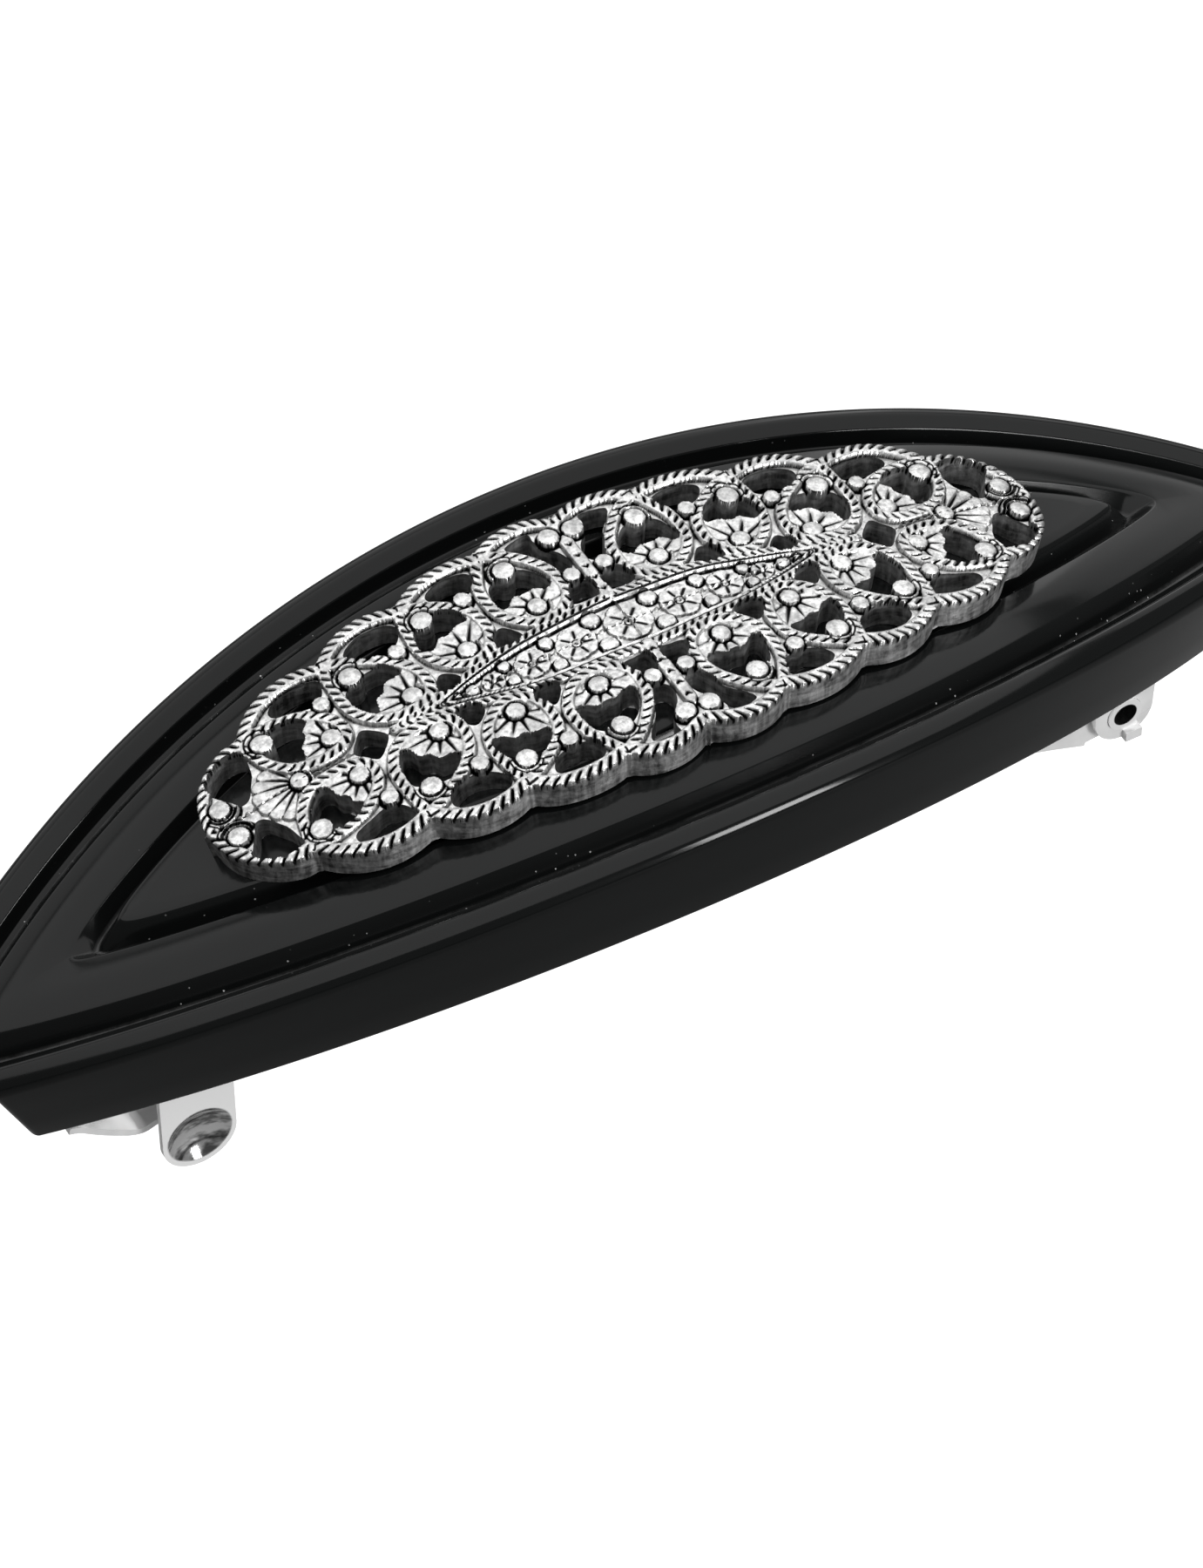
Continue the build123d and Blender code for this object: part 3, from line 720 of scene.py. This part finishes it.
    def rosette(self, centre, radius, petals=6):
        """Flat daisy: petals parted by short dark cuts round a dimpled button."""
        rho, angle = self.polar(centre)
        u = angle / (2 * math.pi) * petals + 0.25
        off = np.abs(u - np.round(u)) * rho * 2 * math.pi / petals
        lobe = radius * (0.88 + 0.12 * np.abs(np.cos(np.pi * (u + 0.5))) ** 0.5)
        share = rho / lobe
        span = np.clip((share - 0.26) / 0.1, 0, 1) * np.clip((0.95 - share) / 0.2, 0, 1)
        cut = hollow(off, 0.09) * span
        body = np.sqrt(np.clip(1 - ((share - 0.6) / 0.6) ** 2, 0, 1))
        self.carve(hollow(rho - lobe, 0.07), 0.05, 0.3)
        self.add(lobe - rho, GROUND + 0.05 + 0.09 * body - 0.14 * cut)
        self.dark = np.where(share < 0.95, cut, self.dark)
        button = 0.22 * radius
        self.carve(hollow(rho - button, 0.055), 0.12, 0.8)
        if radius > 1.0:
            self.carve(hollow(rho, 0.3 * button), 0.1)


def border_arcs():
    """Centre, radius and end angles of each scallop's outer edge."""
    for start, crest, end in zip(BORDER_NOTCHES[:-1], BORDER_CRESTS, BORDER_NOTCHES[1:]):
        centre, radius = circle_through(start, crest, end)
        angles = [math.atan2(p[1] - centre[1], p[0] - centre[0]) for p in (start, end)]
        yield (centre, radius, *angles)


def lay_ground(r):
    """Pierced plate, the medallion's field and everything that lies low on it."""
    r.plate(np.vstack([arc_path(*arc) for arc in border_arcs()] + [open_path(BORDER_END)]))
    for centre, radius in ROSETTES:
        r.rosette(centre, radius)
    for centre, radius in SEEDS:
        r.bead(centre, radius, top=-0.2, seat=0.1)


def lay_ropes(r):
    """Notched bands of the axis, the medallion, the loops, the strut and the border."""
    r.rope(open_path(AXIS_ROPE), AXIS_WIDTH, top=-0.12, pitch=0.55)
    r.rope(open_path(MEDALLION_ROPE), MEDALLION_WIDTH, top=-0.1, pitch=0.6)
    r.ridge(open_path(MEDALLION_RIDGE), top=-0.14)
    for loop in LOOPS:
        r.rope(open_path(loop["route"]), LOOP_WIDTH, top=-0.04, outside=-1, pitch=0.66)
    r.rope(open_path(STRUT), STRUT_WIDTH, top=-0.05, pitch=1.1)
    half = BORDER_WIDTH / 2
    for centre, radius, start, end in border_arcs():
        middle = arc_path(centre, radius - half, start, end)
        r.rope(middle, BORDER_WIDTH, slant=-NOTCH_SLANT, span=SERRATED)
    end = open_path(BORDER_END)
    tangent = np.gradient(end, axis=0)
    tangent /= np.hypot(*tangent.T)[:, None]
    inward = np.c_[tangent[:, 1], -tangent[:, 0]] * half
    r.rope(end + inward, BORDER_WIDTH, slant=-NOTCH_SLANT, span=SERRATED)


def lay_beads(r):
    """Beads that stand into the openings, with the fine ridges round them."""
    for loop in LOOPS:
        tip = math.radians(loop["tip"])
        span = (tip - LOOP_RIDGE_TURN, tip + LOOP_RIDGE_TURN)
        r.ridge(arc_path(loop["bead"], LOOP_RIDGE, *span), top=-0.1)
        r.bead(loop["bead"], LOOP_BEAD)
    for centre in LINK_BEADS:
        r.bead(centre, LINK_BEAD)
    r.bead(STRUT_BEAD, LONE_BEAD)
    for radius in END_RIDGES:
        r.ridge(arc_path(END_BEAD, radius, *END_RIDGE_SPAN), top=-0.12)
    r.bead(END_BEAD, LONE_BEAD)


def plaque_relief():
    """Every ornament of one quarter, lowest layers first."""
    r = Relief()
    lay_ground(r)
    for loop in LOOPS:
        _, side = r.follow(open_path(loop["route"]))
        r.fan(**loop["fan"], clip=side)
    r.fan(**END_FAN, narrow=0.5, hub_radius=0.6, flare=0.0, cut=1.0)
    lay_ropes(r)
    for outline in OPENINGS:
        r.pierce(closed_path(outline))
    lay_beads(r)
    return r


# ----------------------------------------------------------- the plaque's mesh
WALL_HEIGHTS = (-0.75, -1.45)
UNDERSIDE = -2.18
BOTTOM_GRID = 0.9           # spacing of the points on the flat underside
BOTTOM_REACH = (29.7, 10.35)    # furthest of them along and across
BOTTOM_MARGIN = 0.2         # metal that each of them has round it
EDGE_REACH = 0.3            # how far from an edge the distance inside it is kept
HOLLOW_BLUR = 14            # passes of smoothing that a hollow's depth is judged against
RIM_SHIFT = 0.6 * GRID      # the furthest a rim's point moves onto the smooth edge
CAST_WAVE = 0.05            # size of the slow waves of the casting
WAVES = 10
RISE_SHARE = 0.4            # of a wave's size, for the heights
TOP_DROP = 0.02             # keeps the waves' crests inside the plaque's box
LEAST_WALL = 0.1            # height of the first step of a wall


def whole(quarter):
    """Mirror a quarter's array across both axes."""
    half = np.concatenate([quarter[:0:-1], quarter], axis=0)
    return np.concatenate([half[:, :0:-1], half], axis=1)


def blurred(field, passes):
    """Repeated three-point smoothing along both axes."""
    for _ in range(passes):
        padded = np.pad(field, 1, mode="edge")
        field = (padded[:-2, 1:-1] + 2 * padded[1:-1, 1:-1] + padded[2:, 1:-1]) / 4
        padded = np.pad(field, 1, mode="edge")
        field = (padded[1:-1, :-2] + 2 * padded[1:-1, 1:-1] + padded[1:-1, 2:]) / 4
    return field


def kept_cells(inside):
    """Grid cells that are metal, with no two touching only at a corner."""
    cells = (inside[:-1, :-1] + inside[1:, :-1] + inside[:-1, 1:] + inside[1:, 1:]) > 0
    a, b, c, d = cells[:-1, :-1], cells[1:, 1:], cells[1:, :-1], cells[:-1, 1:]
    for _ in range(3):
        lone = (a & b & ~c & ~d) | (c & d & ~a & ~b)
        if not lone.any():
            break
        for corner in (a, b, c, d):
            corner |= lone
    return cells


def hand_cast(arc, width, amount):
    """Slow waves that keep the four quarters from being exact copies."""
    wave = np.random.default_rng(SEED)
    out = [np.zeros_like(arc) for _ in range(3)]
    for _ in range(WAVES):
        per_arc, per_width = wave.uniform(-1.1, 1.1, 2)
        for k in range(3):
            out[k] += np.sin(arc * per_arc + width * per_width + wave.uniform(0, 2 * math.pi))
    return [amount * field / math.sqrt(WAVES) for field in out]


def relief_fields():
    """Distance inside the edge, height and share of oxide over the whole plaque."""
    relief = plaque_relief()
    inside = blurred(whole(np.clip(relief.inside, -EDGE_REACH, EDGE_REACH)), 1)
    height = whole(np.where(relief.inside > 0, relief.height, relief.skirt))
    sunk = blurred(height, HOLLOW_BLUR) - height
    dark = whole(relief.dark) + np.clip((sunk - 0.05) / 0.22, 0, 0.8)
    return inside, height, np.clip(dark, 0, 1)


def rim_edges(cells):
    """Edges between metal and opening, each as the numbers of its two grid points."""
    across = cells.shape[1] + 1
    # the four ways to leave a cell: the step, and the edge's corners in walking order
    sides = (
        ((0, -1), (0, 0), (1, 0)),
        ((1, 0), (1, 0), (1, 1)),
        ((0, 1), (1, 1), (0, 1)),
        ((-1, 0), (0, 1), (0, 0)),
    )
    padded = np.pad(cells, 1)
    i, j = np.nonzero(cells)
    edges = []
    for (di, dj), first, second in sides:
        leaves = ~padded[i + 1 + di, j + 1 + dj]
        ends = [(i + a) * across + j + b for a, b in (first, second)]
        edges.append(np.stack(ends, axis=1)[leaves])
    return np.vstack(edges)


def drawn_to_edge(arc, width, inside, rim):
    """Move the rim's points onto the smooth edge of the metal."""
    slope_s, slope_y = np.gradient(inside, GRID)
    steep = slope_s ** 2 + slope_y ** 2 + 0.02
    on_rim = np.zeros(inside.size, bool)
    on_rim[rim.ravel()] = True
    on_rim = on_rim.reshape(inside.shape)
    shift_s = np.clip(inside * slope_s / steep, -RIM_SHIFT, RIM_SHIFT)
    shift_y = np.clip(inside * slope_y / steep, -RIM_SHIFT, RIM_SHIFT)
    return np.where(on_rim, arc - shift_s, arc), np.where(on_rim, width - shift_y, width)


def numbered_top(cells, arc, width, height):
    """Points and faces of the top, and each grid point's number among them, or -1."""
    i, j = np.nonzero(cells)
    across = arc.shape[1]
    corners = [(i + a) * across + j + b for a, b in ((0, 0), (1, 0), (1, 1), (0, 1))]
    quads = np.stack(corners, axis=1)
    used = np.unique(quads)
    index = np.full(arc.size, -1)
    index[used] = np.arange(len(used))
    top = np.c_[arc.ravel(), width.ravel(), height.ravel()][used]
    return top, index[quads].tolist(), index


def walls(top, ring, rim):
    """Layers of points below the rim's, and the faces that join them."""
    above = np.full(len(top), -1)
    above[ring] = ring
    total = len(top)
    layers, faces = [], []
    for level in (*WALL_HEIGHTS, UNDERSIDE):
        layer = top[ring].copy()
        layer[:, 2] = np.minimum(layer[:, 2] - LEAST_WALL, level)
        below = np.full(len(top), -1)
        below[ring] = total + np.arange(len(ring))
        corners = [above[rim[:, 1]], above[rim[:, 0]], below[rim[:, 0]], below[rim[:, 1]]]
        faces += np.stack(corners, axis=1).tolist()
        layers.append(layer)
        above, total = below, total + len(ring)
    return layers, faces


def bottom_faces(ring, rim, inside, first_point):
    """Flat underside within the rim: its extra points, and its faces numbered from a point."""
    middle = np.array(inside.shape) // 2

    def depth(place):
        i, j = (int(round(place[k] / GRID)) + middle[k] for k in (0, 1))
        return inside[i, j]

    rows = [np.arange(-reach, reach + 0.1, BOTTOM_GRID) for reach in BOTTOM_REACH]
    inner = [(a, b) for a in rows[0] for b in rows[1] if depth((a, b)) > BOTTOM_MARGIN]
    flat = [Vector(p) for p in ring.tolist() + inner]
    _, _, triangles, source, _, _ = delaunay_2d_cdt(flat, rim.tolist(), [], 0, 1e-6)
    faces = []
    for triangle in triangles:
        ids = [source[k][0] for k in triangle]
        centre = sum((flat[k] for k in ids), Vector((0, 0))) / 3
        if depth(centre) > 0:
            faces.append([first_point + k for k in reversed(ids)])
    return np.array([(*p, UNDERSIDE) for p in inner]), faces


def plaque_mesh():
    """Points and faces of the filigree, with its share of oxide and which points are walls."""
    inside, height, dark = relief_fields()
    axes = [(np.arange(count) - count // 2) * GRID for count in inside.shape]
    arc, width = np.meshgrid(*axes, indexing="ij")
    cells = kept_cells(inside)
    rim = rim_edges(cells)
    arc, width = drawn_to_edge(arc, width, inside, rim)
    drift = hand_cast(arc, width, CAST_WAVE)
    height = height + RISE_SHARE * drift[2] - TOP_DROP
    top, faces, index = numbered_top(cells, arc + drift[0], width + drift[1], height)

    rim = index[rim]
    ring = np.unique(rim)
    layers, sides = walls(top, ring, rim)
    order = np.full(len(top), -1)
    order[ring] = np.arange(len(ring))
    lowest = len(top) + (len(layers) - 1) * len(ring)
    extra, flat = bottom_faces(top[ring][:, :2], order[rim], inside, lowest)

    points = np.vstack([top, *layers, extra])
    is_wall = np.arange(len(points)) >= len(top)
    oxide = np.zeros(len(points))
    oxide[:len(top)] = dark.ravel()[index >= 0]
    return arch_xyz(*points.T), faces + sides + flat, {"dark": oxide, "wall": is_wall}


# ----------------------------------------------------------------- build pieces
SILVER = antiqued_silver()
PLATE = plated_steel("plated_steel").material
SPRING = plated_steel("spring_steel", low=0.22, high=0.36, colour=0.55, metal=1.0).material
RIVET = plated_steel("rivet_steel", colour=0.66, metal=0.9).material
TAB = tab_steel().material
PIN = pin_steel().material
BODY_CREASE = 40            # degrees between faces from which an edge is sharp
FILIGREE_CREASE = 55

points, faces, groove = body_mesh()
mesh_piece("hair_body_skin", points, faces, "frame", ["hair_body"],
           black_plastic(), BODY_CREASE, {"groove": groove})
points, faces, values = plaque_mesh()
mesh_piece("filigree", points, faces, "frame", ["filigree_plaque"],
           SILVER, FILIGREE_CREASE, values)

CAD_LOOKS = {
    "clasp_base": PLATE,
    "catch_bridge": PLATE,
    "finger_tab_near": TAB,
    "finger_tab_far": TAB,
    "hinge_pin": PIN,
    "clasp_arm": PLATE,
    "tension_spring": SPRING,
    "base_rivets": RIVET,
}
for node, look in CAD_LOOKS.items():
    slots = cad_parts[node].data.materials
    for k in range(len(slots)):
        slots[k] = look

# ------------------------------------------------------------- floor and light
CAMERA_AZIMUTH = math.radians(-29.52)
CAMERA_ELEVATION = math.radians(47.78)
CAMERA_ROLL = math.radians(-0.25)
CAMERA_DISTANCE = 390.81    # from the crown, along the view
CAMERA_SIDE = 1.703         # how far the crown lies right of the picture's centre
CAMERA_UP = 10.449          # and above it
LENS = 144.0
SENSOR = 36.0
CLIP = (0.01, 10.0)         # metres
FLOOR_Z = -90.0             # below the clasp's arm when it hangs open
FLOOR_SIZE = 6.0            # metres
WORLD_LEVEL = 0.2           # brightness of the surroundings in light and reflections
# Soft lights: name, place, what it faces, width and height, power in watts.
LIGHTS = [
    ("overhead", (0, 60, 520), (0, 60, 0), (1300, 1100), 6.7),
    ("back_right", (650, 480, 240), (0, 0, 15), (500, 450), 0.62),
    ("backdrop", (0, 900, 330), (0, 0, 20), (1600, 600), 2.6),
    ("key", (218, -560, 170), (20, -14, 12), (160, 240), 3.2),
]


def camera_axes():
    """Unit vectors to the camera's right, upwards in the picture and back towards the camera."""
    level = math.cos(CAMERA_ELEVATION)
    back = Vector((math.sin(CAMERA_AZIMUTH) * level, -math.cos(CAMERA_AZIMUTH) * level,
                   math.sin(CAMERA_ELEVATION)))
    right = Vector((0, 0, 1)).cross(back).normalized()
    up = back.cross(right)
    turned_right = math.cos(CAMERA_ROLL) * right + math.sin(CAMERA_ROLL) * up
    turned_up = math.cos(CAMERA_ROLL) * up - math.sin(CAMERA_ROLL) * right
    return turned_right, turned_up, back


def add_camera():
    right, up, back = camera_axes()
    data = bpy.data.cameras.new("camera")
    data.lens, data.sensor_width, data.sensor_fit = LENS, SENSOR, "AUTO"
    data.clip_start, data.clip_end = CLIP
    camera = bpy.data.objects.new("camera", data)
    from_crown = CAMERA_DISTANCE * back - CAMERA_SIDE * right - CAMERA_UP * up
    place = from_crown * MM + Vector((0, 0, CROWN_Z * MM))
    turned = Matrix((right, up, back)).transposed().to_4x4()
    camera.matrix_world = Matrix.Translation(place) @ turned
    bpy.context.scene.collection.objects.link(camera)
    bpy.context.scene.camera = camera


def add_floor():
    """Floor that is white where the camera sees it, and dim in light and reflections."""
    n = Nodes("floor_white")
    n.set(Base_Color=n.mix(n.ramp(n.noise(0.01), 0.3, 0.7), grey(0.20), grey(0.22)), Roughness=0.9)
    n.set(Specular_IOR_Level=0.0)
    seen = n.add("ShaderNodeLightPath").outputs["Is Camera Ray"]
    n.set(Emission_Color=grey(1.0), Emission_Strength=seen)
    bpy.ops.mesh.primitive_plane_add(size=FLOOR_SIZE, location=(0, 0, FLOOR_Z * MM))
    floor = bpy.context.object
    floor.name = "floor"
    floor.data.materials.append(n.material)


def add_light(name, place, aim, size, power):
    """Rectangular soft light; place and aim in millimetres."""
    data = bpy.data.lights.new(name, "AREA")
    data.shape, data.energy = "RECTANGLE", power
    data.size, data.size_y = size[0] * MM, size[1] * MM
    light = bpy.data.objects.new(name, data)
    place, aim = Vector(place) * MM, Vector(aim) * MM
    light.location = place
    light.rotation_mode = "QUATERNION"
    light.rotation_quaternion = (place - aim).to_track_quat("Z", "Y")
    bpy.context.scene.collection.objects.link(light)


def add_world(level):
    """Even surroundings: white where the camera sees them, dim in light and reflections."""
    world = bpy.data.worlds.new("studio")
    world.use_nodes = True
    tree = world.node_tree
    seen = tree.nodes.new("ShaderNodeLightPath").outputs["Is Camera Ray"]
    strength = tree.nodes.new("ShaderNodeMath")
    strength.operation = "MAXIMUM"
    strength.inputs[1].default_value = level
    tree.links.new(seen, strength.inputs[0])
    background = tree.nodes["Background"]
    background.inputs["Color"].default_value = grey(1.0)
    tree.links.new(strength.outputs["Value"], background.inputs["Strength"])
    bpy.context.scene.world = world


add_floor()
add_world(WORLD_LEVEL)
for light in LIGHTS:
    add_light(*light)
add_camera()
bpy.context.scene.view_settings.view_transform = "Standard"
